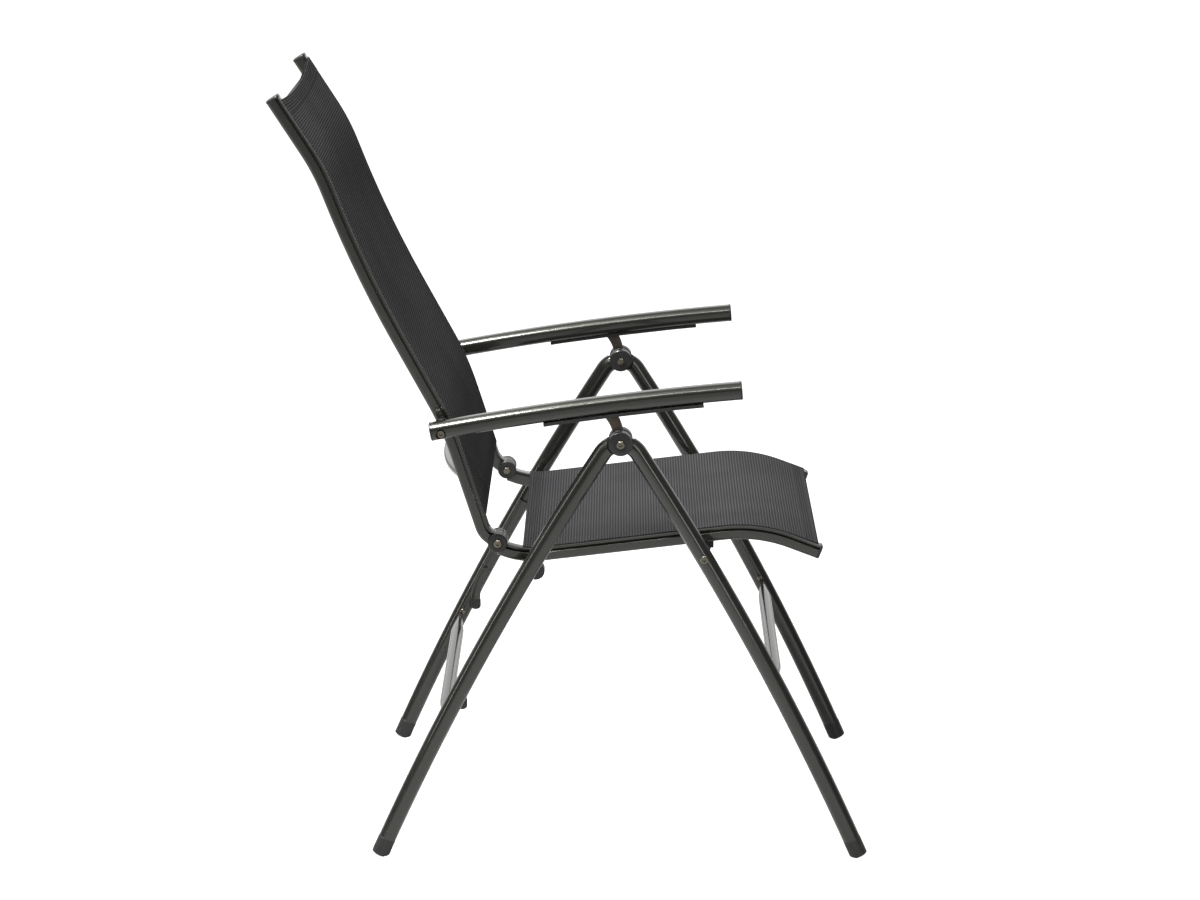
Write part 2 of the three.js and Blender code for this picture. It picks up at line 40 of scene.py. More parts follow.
# Lengths in the dictionaries are millimetres and angles are degrees, where no other unit is named.
mm = 0.001
hingeX = 66.395  # how far the top hinge stands in front of the middle of the chair

# How far the legs, rails and arms stand from the middle of the chair.
planes = {"leg": 262, "rail": 206.5, "arm": 259}

# A leg leaves the top hinge in a tight bend and runs to the floor in a very wide bow.
legSizes = {
    "hingeHeight": 620.4,
    "tube": 25.5,
    "sides": 48,
    "rootOut": 8,
    "rootDrop": 4.4,
    "rootSlope": 15,
    "startSlope": 19,
    "topSlope": 57.27,
    "bendRadius": 30,
    "bowRadius": 4300,
    "bendSteps": 14,
    "bowSteps": 18,
    "capHeight": 15,
    "hubClear": 40.2,
    "hubReach": 24,
    "hubGap": 3.3,
}
legSides = {"front": 1, "rear": -1}

# Moves of a run are straight lengths, or a radius with its angle and how much of it each step turns.
seatSizes = {
    "start": (-164.8, 446.1, -20.3),
    "moves": [(108, 27.3), (263,), (205, -27.9), (42,)],
    "slingStart": 24,
    "slingEnd": 4,
    "slingSide": 1,
    "slingScoop": 0,
}

backSizes = {
    "start": (-188.6, 466.7, 141),
    "moves": [(30, -33.15), (114.7,), (445, 10.55, 1.2), (102,), (1700, -7.8, 1.2), (320, 12, 1.2), (83,)],
    "slingStart": 33,
    "slingEnd": 5,
    "slingSide": -1,
    "slingScoop": 10,
}

armSizes = {
    "start": (-265.7, 633.3, 10.9),
    "turned": -5.9,
    "stepTurned": 0.5,
    "length": 438,
    "width": 27,
    "depth": 25,
    "corner": 10,
    "cornerSteps": 16,
    "crown": 0.05,
    "boltRecess": [(265, 15.5), (280, 15.5)],
    "capExtra": 0.3,
    "capReach": (0, 1.9, 2.6, 3),
    "capShares": (1, 1, 0.96, 0.87),
}

hinges = {
    "top": (0, legSizes["hingeHeight"]),
    "seatPivot": (118.912, 451),
    "back": (-175.6, 459.2),
    "arm": (-253, 631.5),
}


# Runs: lists of (x, z, heading) in the plane of a side, with headings in radians.
def walkRun(start, moves, stepTurned=3):
    run = [(start[0], start[1], math.radians(start[2]))]
    for move in moves:
        x, z, heading = run[-1]
        if len(move) == 1:
            run.append((x + move[0] * math.cos(heading), z + move[0] * math.sin(heading), heading))
            continue
        radius, angle = move[0], math.radians(move[1])
        pieces = max(2, math.ceil(abs(move[1]) / (move[2] if len(move) > 2 else stepTurned)))
        chord = 2 * radius * math.sin(abs(angle) / pieces / 2)
        for piece in range(pieces):
            x, z, heading = run[-1]
            along = heading + angle / pieces / 2
            run.append((x + chord * math.cos(along), z + chord * math.sin(along), heading + angle / pieces))
    return run


def gapBetween(a, b):
    return math.hypot(b[0] - a[0], b[1] - a[1])


def runLength(run):
    return sum(gapBetween(a, b) for a, b in zip(run, run[1:]))


def between(a, b, share):
    return tuple(p + (q - p) * share for p, q in zip(a, b))


def placeAfter(run, distance):
    for a, b in zip(run, run[1:]):
        step = gapBetween(a, b)
        if distance <= step or b is run[-1]:
            return between(a, b, distance / step)
        distance -= step


def spread(low, high, count):
    return [low + (high - low) * step / count for step in range(count + 1)]


def evenRun(run, start, end, count):
    return [placeAfter(run, distance) for distance in spread(start, end, count)]


def placeAtHeight(run, height):
    for a, b in zip(run, run[1:]):
        if b[1] >= height:
            return between(a, b, (height - a[1]) / (b[1] - a[1]))


def shifted(place, forward, left):
    x, z, heading = place
    return (
        x + forward * math.cos(heading) - left * math.sin(heading),
        z + forward * math.sin(heading) + left * math.cos(heading),
        heading,
    )


def stretch(place, distances):
    return [shifted(place, distance, 0) for distance in distances]


def legPlace(side, slope):
    sizes = legSizes
    bend = math.radians(min(slope, sizes["topSlope"]))
    bow = math.radians(max(slope, sizes["topSlope"]))
    root, top = math.radians(sizes["rootSlope"]), math.radians(sizes["topSlope"])
    out = sizes["rootOut"] + sizes["bendRadius"] * (math.sin(bend) - math.sin(root))
    out += sizes["bowRadius"] * (math.sin(bow) - math.sin(top))
    down = sizes["rootDrop"] + sizes["bendRadius"] * (math.cos(root) - math.cos(bend))
    down += sizes["bowRadius"] * (math.cos(top) - math.cos(bow))
    heading = -math.radians(slope) if side > 0 else math.pi + math.radians(slope)
    return (side * out, sizes["hingeHeight"] - down, heading)


def legSlopeAt(height):
    bendEnd = legPlace(1, legSizes["topSlope"])[1]
    cosine = math.cos(math.radians(legSizes["topSlope"])) - (bendEnd - height) / legSizes["bowRadius"]
    return math.degrees(math.acos(cosine))


armRadius = armSizes["length"] / math.radians(abs(armSizes["turned"]))
armRun = walkRun(armSizes["start"], [(armRadius, armSizes["turned"])], armSizes["stepTurned"])
seatRun = walkRun(seatSizes["start"], seatSizes["moves"])
backRun = walkRun(backSizes["start"], backSizes["moves"])


# Sections: lists of (outwards, to the left of the run).
def roundSection(diameter, count):
    turns = [2 * math.pi * index / count for index in range(count)]
    return [(diameter / 2 * math.cos(turn), diameter / 2 * math.sin(turn)) for turn in turns]


def barSection(width, depth, corner, steps=6):
    points = []
    for quarter in range(4):
        middle = math.pi / 2 * (quarter + 0.5)
        for step in range(steps + 1):
            angle = math.pi / 2 * (quarter + step / steps)
            points.append((
                math.copysign(width / 2 - corner, math.cos(middle)) + corner * math.cos(angle),
                math.copysign(depth / 2 - corner, math.sin(middle)) + corner * math.sin(angle),
            ))
    return points


def armSection(extra=0):
    width, depth = armSizes["width"] + extra, armSizes["depth"] + extra
    points = []
    for across, up in barSection(width, depth, armSizes["corner"] + extra / 2, armSizes["cornerSteps"]):
        crown = 1 - armSizes["crown"] * (2 * across / width) ** 2 if up > 0 else 1
        points.append((across, up * crown))
    return points


# Making of pieces. Edges that turn by less than these angles are shaded smooth.
smoothUnder = {"drawn": 32, "turned": 28, "cut": 40, "nut": 20}
bevelOver = 50  # edges that turn by more than this are rounded
barrelSides = 64
leastTurn = 1e-9  # a smaller turn, in radians, is left out


def onlyPiece(piece):
    if bpy.context.object and bpy.context.object.mode != "OBJECT":
        bpy.ops.object.mode_set(mode="OBJECT")
    bpy.ops.object.select_all(action="DESELECT")
    piece.select_set(True)
    bpy.context.view_layer.objects.active = piece


def scenePlace(x, out, z):
    return ((x + hingeX) * mm, -out * mm, z * mm)


# Starts a piece with its first ring, given as (x, outwards, z), and leaves it in edit mode.
def startPiece(name, ring):
    bpy.ops.object.select_all(action="DESELECT")
    bpy.ops.mesh.primitive_circle_add(vertices=len(ring), radius=mm, fill_type="NGON", location=(0, 0, 0))
    piece = bpy.context.object
    piece.name = name
    piece.data.name = name
    for vertex, place in zip(piece.data.vertices, ring):
        vertex.co = scenePlace(*place)
    bpy.ops.object.mode_set(mode="EDIT")
    bpy.ops.mesh.select_all(action="SELECT")
    return piece


def extrudeBy(x, out, z):
    bpy.ops.mesh.extrude_region_move(TRANSFORM_OT_translate={"value": (x * mm, -out * mm, z * mm)})


def resizeAt(place, wide, tall, across=1):
    bpy.ops.transform.resize(value=(wide, across, tall), center_override=Vector(scenePlace(*place)))


def closePiece(piece, smooth=smoothUnder["drawn"]):
    bpy.ops.mesh.select_all(action="SELECT")
    bpy.ops.mesh.normals_make_consistent(inside=False)
    bpy.ops.object.mode_set(mode="OBJECT")
    bpy.ops.object.shade_smooth_by_angle(angle=math.radians(smooth))
    return piece


# Draws a section along a run, ring by ring, with a share of its size for each ring when it swells or tapers.
def drawBar(name, section, run, plane, shares=None):
    shares = shares or [1] * len(run)
    x, z, heading = run[0]
    first = shares[0]
    ring = [(x - first * up * math.sin(heading), plane + first * across, z + first * up * math.cos(heading))
            for across, up in section]
    piece = startPiece(name, ring)
    for step in range(1, len(run)):
        last, place = run[step - 1], run[step]
        middle = (place[0], plane, place[1])
        extrudeBy(place[0] - last[0], 0, place[1] - last[1])
        turn = place[2] - last[2]
        if abs(turn) > leastTurn:
            bpy.ops.transform.rotate(value=turn, orient_axis="Y", center_override=Vector(scenePlace(*middle)))
        if shares[step] != shares[step - 1]:
            ratio = shares[step] / shares[step - 1]
            resizeAt(middle, ratio, ratio, ratio)
    return closePiece(piece)


# Turns a piece about a line across the chair: profile is (distance from the middle, diameter) pairs.
def turnPiece(name, place, profile, count=48, smooth=smoothUnder["drawn"]):
    x, z = place[0], place[1]
    firstOut, firstWide = profile[0]
    ring = [(x + across, firstOut, z + up) for across, up in roundSection(firstWide, count)]
    piece = startPiece(name, ring)
    for (lastOut, lastWide), (out, wide) in zip(profile, profile[1:]):
        extrudeBy(0, out - lastOut, 0)
        if wide != lastWide:
            resizeAt((x, out, z), wide / lastWide, wide / lastWide)
    return closePiece(piece, smooth)


def outFrom(plane, profile):
    return [(plane + distance, diameter) for distance, diameter in profile]


# Cuts off what lies beyond a plane that stands across the chair, and closes the cut.
def cutOff(piece, place, facing):
    onlyPiece(piece)
    bpy.ops.object.mode_set(mode="EDIT")
    bpy.ops.mesh.select_all(action="SELECT")
    bpy.ops.mesh.bisect(plane_co=scenePlace(place[0], 0, place[1]),
                        plane_no=(math.cos(facing), 0, math.sin(facing)), use_fill=True, clear_outer=True)
    bpy.ops.object.mode_set(mode="OBJECT")


def softenEdges(piece, width, steps):
    onlyPiece(piece)
    bpy.ops.object.modifier_add(type="BEVEL")
    bevel = piece.modifiers[-1]
    bevel.width = width * mm
    bevel.segments = steps
    bevel.angle_limit = math.radians(bevelOver)
    bevel.limit_method = "ANGLE"
    bpy.ops.object.modifier_apply(modifier=bevel.name)
    bpy.ops.object.shade_smooth_by_angle(angle=math.radians(smoothUnder["cut"]))


def combine(piece, tool, way):
    onlyPiece(piece)
    bpy.ops.object.modifier_add(type="BOOLEAN")
    boolean = piece.modifiers[-1]
    boolean.operation = way
    boolean.solver = "EXACT"
    boolean.object = tool
    bpy.ops.object.modifier_apply(modifier=boolean.name)
    bpy.data.objects.remove(tool)
    bpy.ops.object.shade_smooth_by_angle(angle=math.radians(smoothUnder["cut"]))


# Clears a tube of the other half of its hinge's barrel; way is 1 for a tube that holds the outer half.
def clearHub(piece, hinge, plane, sizes, way):
    span = sorted((-way * sizes["hubReach"], way * sizes["hubGap"]))
    profile = [(planes[plane] + distance, sizes["hubClear"]) for distance in span]
    combine(piece, turnPiece("tool", hinges[hinge], profile, barrelSides), "DIFFERENCE")


def joinPieces(piece, others):
    onlyPiece(piece)
    for other in others:
        other.select_set(True)
    bpy.ops.object.join()


def leftCopy(piece):
    onlyPiece(piece)
    bpy.ops.object.duplicate()
    copy = bpy.context.object
    copy.name = piece.name.replace("Right", "Left")
    copy.data.name = copy.name
    copy.scale.y = -1
    bpy.ops.object.transform_apply(location=False, rotation=False, scale=True)
    bpy.ops.object.mode_set(mode="EDIT")
    bpy.ops.mesh.select_all(action="SELECT")
    bpy.ops.mesh.normals_make_consistent(inside=False)
    bpy.ops.object.mode_set(mode="OBJECT")
    return copy


def dress(piece, body, material, slotName, *nodes):
    piece.data.materials.clear()
    piece.data.materials.append(material)
    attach(piece, body)
    if nodes:
        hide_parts(*nodes)


# Dresses a right-hand piece and its left copy; names hold {side} where the two differ.
def dressPair(piece, body, finish, *nodes):
    material, slotName = finish
    copy = leftCopy(piece)
    for part, side in ((piece, "right"), (copy, "left")):
        dress(part, body.format(side=side), material, slotName, *[node.format(side=side) for node in nodes])


# Nodes of the finishes.
def makeGroup(name, inputs, outputs):
    group = bpy.data.node_groups.new(name, "ShaderNodeTree")
    for title, kind in inputs:
        group.interface.new_socket(name=title, in_out="INPUT", socket_type=kind)
    for title, kind in outputs:
        group.interface.new_socket(name=title, in_out="OUTPUT", socket_type=kind)
    return group, group.nodes.new("NodeGroupInput"), group.nodes.new("NodeGroupOutput")


def mathNode(tree, operation, first, second=None, third=None):
    node = tree.nodes.new("ShaderNodeMath")
    node.operation = operation
    for socket, value in zip(node.inputs, (first, second, third)):
        if value is None:
            continue
        if isinstance(value, (int, float)):
            socket.default_value = value
        else:
            tree.links.new(value, socket)
    return node.outputs[0]


# Two values blended by fixed shares.
def blendNode(tree, first, firstShare, second, secondShare):
    return mathNode(tree, "MULTIPLY_ADD", first, firstShare, mathNode(tree, "MULTIPLY", second, secondShare))


def noiseNode(tree, vector, scale, detail, roughness=0.5):
    node = tree.nodes.new("ShaderNodeTexNoise")
    tree.links.new(vector, node.inputs["Vector"])
    if isinstance(scale, (int, float)):
        node.inputs["Scale"].default_value = scale
    else:
        tree.links.new(scale, node.inputs["Scale"])
    node.inputs["Detail"].default_value = detail
    node.inputs["Roughness"].default_value = roughness
    return node.outputs["Fac"]


def mapRange(tree, value, low, high, newLow=0, newHigh=1):
    node = tree.nodes.new("ShaderNodeMapRange")
    tree.links.new(value, node.inputs["Value"])
    for title, number in (("From Min", low), ("From Max", high), ("To Min", newLow), ("To Max", newHigh)):
        node.inputs[title].default_value = number
    return node.outputs["Result"]


def mixColours(tree, factor, first, second):
    node = tree.nodes.new("ShaderNodeMix")
    node.data_type = "RGBA"  # its two colours are inputs 6 and 7, and the mixed one is output 2
    tree.links.new(factor, node.inputs["Factor"])
    for socket, value in ((node.inputs[6], first), (node.inputs[7], second)):
        if isinstance(value, tuple):
            socket.default_value = (*value, 1)
        else:
            tree.links.new(value, socket)
    return node.outputs[2]


def startMaterial(name, roughness, metallic):
    material = bpy.data.materials.new(name)
    material.use_nodes = True
    tree = material.node_tree
    shader = tree.nodes["Principled BSDF"]
    shader.inputs["Roughness"].default_value = roughness
    shader.inputs["Metallic"].default_value = metallic
    return material, tree, shader


def addBump(tree, shader, height, strength, depth):
    bump = tree.nodes.new("ShaderNodeBump")
    bump.inputs["Strength"].default_value = strength
    bump.inputs["Distance"].default_value = depth
    tree.links.new(height, bump.inputs["Height"])
    tree.links.new(bump.outputs["Normal"], shader.inputs["Normal"])


# Noises of the grain are (detail, roughness) or (scale, detail, roughness); depth is in metres.
grainSizes = {
    "fine": (3, 0.6),
    "broad": (9, 4, 0.55),
    "smears": (55, 2, 0.5),
    "smearShare": 0.35,
    "broadShare": 0.65,
    "speckRange": (0.42, 0.72),
    "mottlingRange": (0.3, 0.7),
    "speckTint": 0.35,
    "speckLight": 1.7,
    "speckRough": 0.3,
    "mottlingRough": 0.7,
    "coatRough": 0.08,
    "depth": 0.0004,
}


# The grain that every hard finish has: fine specks, broad mottling and a height for the bump.
def grainGroup(sizes):
    group, entry, leave = makeGroup(
        "grain",
        [("Place", "NodeSocketVector"), ("Speck size", "NodeSocketFloat")],
        [("Specks", "NodeSocketFloat"), ("Mottling", "NodeSocketFloat"), ("Height", "NodeSocketFloat")],
    )
    place, speckSize = entry.outputs[0], entry.outputs[1]
    fine = noiseNode(group, place, speckSize, *sizes["fine"])
    broad = noiseNode(group, place, *sizes["broad"])
    smears = noiseNode(group, place, *sizes["smears"])
    group.links.new(mapRange(group, fine, *sizes["speckRange"]), leave.inputs["Specks"])
    mottling = blendNode(group, smears, sizes["smearShare"], broad, sizes["broadShare"])
    group.links.new(mapRange(group, mottling, *sizes["mottlingRange"]), leave.inputs["Mottling"])
    group.links.new(fine, leave.inputs["Height"])
    return group


grain = grainGroup(grainSizes)

# Colours go from dark to light and roughness from smooth to dull; tint colours the gloss.
finishes = {
    "powderCoat": {
        "dark": (0.0065, 0.0068, 0.0057),
        "light": (0.0105, 0.0108, 0.0092),
        "rough": (0.27, 0.34),
        "metallic": 0.1,
        "speckSize": 900,
        "bump": 0.01,
        "coat": 0.9,
        "tint": (1, 1, 0.88),
    },
    "hingeNylon": {
        "dark": (0.008, 0.0083, 0.008),
        "light": (0.015, 0.0155, 0.015),
        "rough": (0.26, 0.36),
        "metallic": 0,
        "speckSize": 1300,
        "bump": 0.1,
    },
    "washerGrey": {
        "dark": (0.1, 0.1, 0.095),
        "light": (0.19, 0.19, 0.18),
        "rough": (0.3, 0.45),
        "metallic": 0.4,
        "speckSize": 1100,
        "bump": 0.15,
    },
    "boltBronze": {
        "dark": (0.1, 0.09, 0.07),
        "light": (0.24, 0.215, 0.17),
        "rough": (0.2, 0.34),
        "metallic": 0.9,
        "speckSize": 700,
        "bump": 0.08,
    },
    "hookBronze": {
        "dark": (0.045, 0.037, 0.029),
        "light": (0.085, 0.071, 0.055),
        "rough": (0.28, 0.42),
        "metallic": 0.6,
        "speckSize": 800,
        "bump": 0.12,
    },
    "footRubber": {
        "dark": (0.0095, 0.0096, 0.0088),
        "light": (0.016, 0.016, 0.0145),
        "rough": (0.32, 0.44),
        "metallic": 0,
        "speckSize": 1300,
        "bump": 0.08,
    },
}


def grainFinish(name, look):
    sizes = grainSizes
    material, tree, shader = startMaterial(name, look["rough"][0], look["metallic"])
    node = tree.nodes.new("ShaderNodeGroup")
    node.node_tree = grain
    node.inputs["Speck size"].default_value = look["speckSize"]
    tree.links.new(tree.nodes.new("ShaderNodeTexCoord").outputs["Object"], node.inputs["Place"])
    specks, mottling = node.outputs["Specks"], node.outputs["Mottling"]
    base = mixColours(tree, mottling, look["dark"], look["light"])
    lighter = tuple(min(1, value * sizes["speckLight"]) for value in look["light"])
    spotted = mathNode(tree, "MULTIPLY", specks, sizes["speckTint"])
    tree.links.new(mixColours(tree, spotted, base, lighter), shader.inputs["Base Color"])
    rough = blendNode(tree, specks, sizes["speckRough"], mottling, sizes["mottlingRough"])
    tree.links.new(mapRange(tree, rough, 0, 1, *look["rough"]), shader.inputs["Roughness"])
    shader.inputs["Coat Weight"].default_value = look.get("coat", 0)
    shader.inputs["Coat Roughness"].default_value = sizes["coatRough"]
    if "tint" in look:
        shader.inputs["Specular Tint"].default_value = (*look["tint"], 1)
    addBump(tree, shader, node.outputs["Height"], look["bump"], sizes["depth"])
    return material


materials = {name: grainFinish(name, look) for name, look in finishes.items()}

# Lengths of the cloth's look are in metres, as its nodes read them.
clothSizes = {
    "rib": 0.00403,
    "thread": 0.0019,
    "ribHeight": 0.65,
    "yarnHeight": 0.35,
    # Shares of painted shade: the ribs and threads are coloured lighter on their crests and darker in their
    # grooves.
    "ribShade": 0.8,
    "yarnShade": 0.2,
    "dark": (0.019, 0.019, 0.0195),
    "light": (0.059, 0.059, 0.0605),
    "clouds": (7, 4),
    "cloudRange": (0.35, 0.65),
    "cloudTint": 0.3,
    "hem": 0.024,
    "hemTint": 0.3,
    "seam": (0.05, 0.05, 0.053),
    "seamRows": (0.005, 0.022),
    "seamHalf": 0.0007,
    "seamHeight": 0.6,
    "stitch": 0.0042,
    "stitchShare": 0.72,
    "rough": (0.85, 0.6),
    "plainRough": 0.72,
    "bump": 0.7,
    "depth": 0.0006,
}


# The mesh of the slings, from the distance across the cloth and along it.
def weaveGroup(sizes):
    group, entry, leave = makeGroup(
        "weave",
        [("Across", "NodeSocketFloat"), ("Along", "NodeSocketFloat")],
        [("Height", "NodeSocketFloat"), ("Yarn", "NodeSocketFloat"), ("Rows", "NodeSocketFloat")],
    )
    rows = mathNode(group, "DIVIDE", entry.outputs[1], sizes["rib"])
    row = mathNode(group, "FLOOR", rows)
    threads = mathNode(group, "DIVIDE", entry.outputs[0], sizes["thread"])
    offset = mathNode(group, "MULTIPLY_ADD", row, 0.5, threads)  # each row starts half a thread further on
    rib = mathNode(group, "POWER", mathNode(group, "SINE", mathNode(group, "MULTIPLY", rows, math.pi)), 2)
    yarn = mathNode(group, "ABSOLUTE", mathNode(group, "SINE", mathNode(group, "MULTIPLY", offset, math.pi)))
    height = blendNode(group, rib, sizes["ribHeight"], yarn, sizes["yarnHeight"])
    group.links.new(height, leave.inputs["Height"])
    group.links.new(yarn, leave.inputs["Yarn"])
    group.links.new(rib, leave.inputs["Rows"])
    return group


# A stitched row, where the cloth is a given distance from its start.
def stitchMask(tree, across, along, distance):
    off = mathNode(tree, "ABSOLUTE", mathNode(tree, "SUBTRACT", along, distance))
    near = mathNode(tree, "LESS_THAN", off, clothSizes["seamHalf"])
    dash = mathNode(tree, "FRACT", mathNode(tree, "DIVIDE", across, clothSizes["stitch"]))
    return mathNode(tree, "MULTIPLY", near, mathNode(tree, "LESS_THAN", dash, clothSizes["stitchShare"]))


# The cloth of one sling, of a length in metres.
def clothFinish(name, length, weave):
    sizes = clothSizes
    material, tree, shader = startMaterial(name, sizes["plainRough"], 0)
    shader.inputs["Specular IOR Level"].default_value = 0
    coordinates = tree.nodes.new("ShaderNodeTexCoord").outputs["Object"]
    parts = tree.nodes.new("ShaderNodeSeparateXYZ")
    tree.links.new(coordinates, parts.inputs[0])
    across = parts.outputs["Y"]
    run = tree.nodes.new("ShaderNodeAttribute")
    run.attribute_name = "clothRun"
    along = run.outputs["Fac"]
    look = tree.nodes.new("ShaderNodeGroup")
    look.node_tree = weave
    tree.links.new(across, look.inputs["Across"])
    tree.links.new(along, look.inputs["Along"])
    # Painted shade: the cloth's colour goes towards dark in the grooves between ribs and threads and towards
    # light on their crests, as the bump's relief would be lit.
    ribs = blendNode(tree, look.outputs["Rows"], sizes["ribShade"], look.outputs["Yarn"], sizes["yarnShade"])
    base = mixColours(tree, ribs, sizes["dark"], sizes["light"])
    clouds = noiseNode(tree, coordinates, *sizes["clouds"])
    clouds = mapRange(tree, clouds, *sizes["cloudRange"], 0, sizes["cloudTint"])
    base = mixColours(tree, clouds, base, sizes["dark"])
    hem = mathNode(tree, "MAXIMUM", mathNode(tree, "LESS_THAN", along, sizes["hem"]),
                   mathNode(tree, "GREATER_THAN", along, length - sizes["hem"]))
    base = mixColours(tree, mathNode(tree, "MULTIPLY", hem, sizes["hemTint"]), base, sizes["dark"])
    edge, fold = sizes["seamRows"]
    stitches = stitchMask(tree, across, along, edge)
    for distance in (fold, length - fold, length - edge):
        stitches = mathNode(tree, "MAXIMUM", stitches, stitchMask(tree, across, along, distance))
    tree.links.new(mixColours(tree, stitches, base, sizes["seam"]), shader.inputs["Base Color"])
    tree.links.new(mapRange(tree, look.outputs["Yarn"], 0, 1, *sizes["rough"]), shader.inputs["Roughness"])
    height = mathNode(tree, "MULTIPLY_ADD", stitches, sizes["seamHeight"], look.outputs["Height"])
    addBump(tree, shader, height, sizes["bump"], sizes["depth"])
    return material


weave = weaveGroup(clothSizes)
print("finishes made")

coatSlot = (materials["powderCoat"], "powder_coat")
nylonSlot = (materials["hingeNylon"], "hinge_plastic")
washerSlot = (materials["washerGrey"], "bolt_steel")
boltSlot = (materials["boltBronze"], "bolt_steel")
hookSlot = (materials["hookBronze"], "hook_bronze")
rubberSlot = (materials["footRubber"], "foot_rubber")


# Legs, with the bends that run up into the top hinge.
def makeLeg(part):
    sizes, side = legSizes, legSides[part]
    foot = legSlopeAt(sizes["capHeight"])
    slopes = spread(sizes["startSlope"], sizes["topSlope"], sizes["bendSteps"])
    slopes += spread(sizes["topSlope"], foot, sizes["bowSteps"])[1:]
    run = [legPlace(side, slope) for slope in slopes]
    leg = drawBar(part + "LegRight", roundSection(sizes["tube"], sizes["sides"]), run, planes["leg"])
    clearHub(leg, "top", "leg", sizes, side)
    dressPair(leg, part + "_frame", coatSlot, part + "_leg_{side}")


for part in legSides:
    makeLeg(part)
print("legs made")

# Foot caps: a rubber shoe over the end of the leg, with a fine groove round it. It is cut nearly square to
# the leg and flat at the floor.
shoe = {
    "reach": (-13, -12.4, -11.6, 0.3, 1.6, 2.2, 2.8, 30),
    "shares": (1.0, 1.003, 1.006, 1.006, 1.006, 0.994, 1.004, 1.004),
    "extra": 0.3,
    "floor": 0.1,
    "flat": 3.5,
    "edge": 2.4,
    "edgeSteps": 4,
}


def makeShoe(part):
    end = legPlace(legSides[part], legSlopeAt(legSizes["capHeight"]))
    section = roundSection(legSizes["tube"] + shoe["extra"], legSizes["sides"])
    piece = drawBar(part + "ShoeRight", section, stretch(end, shoe["reach"]), planes["leg"], shoe["shares"])
    cutOff(piece, (0, shoe["floor"]), -math.pi / 2)
    x, z, heading = end
    reach = (legSizes["tube"] / 2 * abs(math.cos(heading)) - z) / math.sin(heading) + shoe["flat"]
    cutOff(piece, shifted(end, reach, 0), heading)
    softenEdges(piece, shoe["edge"], shoe["edgeSteps"])
    dressPair(piece, part + "_frame", rubberSlot, part + "_foot_cap_{side}")


for part in legSides:
    makeShoe(part)
print("foot caps made")

# Hinge barrels, turned from rings of (distance from the middle plane of the hinge, diameter).
barrels = {
    "topOuter": [(3.4, 24), (3.4, 33), (3.9, 34), (6.8, 34), (7.2, 33.2), (8.2, 33.2), (8.6, 34.4),
                 (18.2, 34.4), (19.4, 33), (19.9, 30.5), (19.9, 19), (19.3, 18.4), (19.3, 13)],
    "topInner": [(-19.9, 20), (-19.9, 31), (-18.8, 34), (-9, 34), (-8.5, 33), (-7.6, 33), (-7.2, 34),
                 (-3.9, 34), (-3.4, 33), (-3.4, 24)],
    "seatOuter": [(2.85, 20), (2.85, 27), (3.3, 28), (6.2, 28), (6.6, 27), (7.4, 27), (7.8, 28.2),
                  (16.6, 28.2), (17.6, 27), (17.95, 25), (17.95, 16), (17.4, 15.4), (17.4, 11)],
    "backInner": [(-17.95, 16), (-17.95, 25), (-17, 28), (-7.6, 28), (-7.2, 27), (-6.4, 27), (-6, 28),
                  (-3.3, 28), (-2.85, 27), (-2.85, 20)],
    "spacer": [(-2.5, 20), (-2.5, 27.4), (-2.1, 28), (-0.5, 28), (-0.3, 27.2), (0.3, 27.2), (0.5, 28),
               (2.1, 28), (2.5, 27.4), (2.5, 20)],
}


def makeBarrel(name, shape, hinge, plane, body, slot, node):
    profile = outFrom(planes[plane], barrels[shape])
    dressPair(turnPiece(name, hinges[hinge], profile, barrelSides, smoothUnder["turned"]), body, slot, node)


makeBarrel("frontBarrelRight", "topOuter", "top", "leg", "front_frame", nylonSlot, "front_knuckle_{side}")
makeBarrel("rearBarrelRight", "topInner", "top", "leg", "rear_frame", nylonSlot, "rear_knuckle_{side}")
makeBarrel("seatBarrelRight", "seatOuter", "back", "rail", "seat_frame", nylonSlot, "seat_knuckle_{side}")
makeBarrel("backBarrelRight", "backInner", "back", "rail", "back_frame", nylonSlot, "back_knuckle_{side}")
makeBarrel("hingeSpacerRight", "spacer", "back", "rail", "back_hinge_pins", washerSlot,
           "back_hinge_spacer_{side}")
print("barrels made")

# Bolts: a domed head with a six-sided socket outside, a shaft, and a nut inside. Head, socket and nut are
# (distance from the seat of the head or nut, diameter).
boltSizes = {
    "head": [(0.3, 9), (0.3, 11.6), (0.7, 12), (2.6, 12), (3.6, 11.2), (4.2, 9.4), (4.2, 7)],
    "headSides": 48,
    "socket": [(1.4, 6.4), (6, 6.4)],
    "shaft": 6,
    "shaftInner": 5.6,
    "shaftOuter": 0.5,
    "shaftSides": 24,
    "nut": [(-5.3, 9.4), (-4.9, 11), (-0.3, 11)],
    "hexSides": 6,
    "collarEdge": 0.5,
}
# Where the nut and the head of each bolt sit, from the middle of the chair, and the collar on the seat's bolt.
boltSpans = {"top": (242, 282), "seatPivot": (199, 274.75), "back": (188.5, 224.5), "arm": (195.5, 265)}
seatCollar = {"start": 214.3, "end": 248.9, "diameter": 16}
armBush = [(217.8, 22), (218.4, 24), (221, 24), (221.5, 21), (241, 21), (241.6, 24), (244.4, 24), (245.2, 22)]


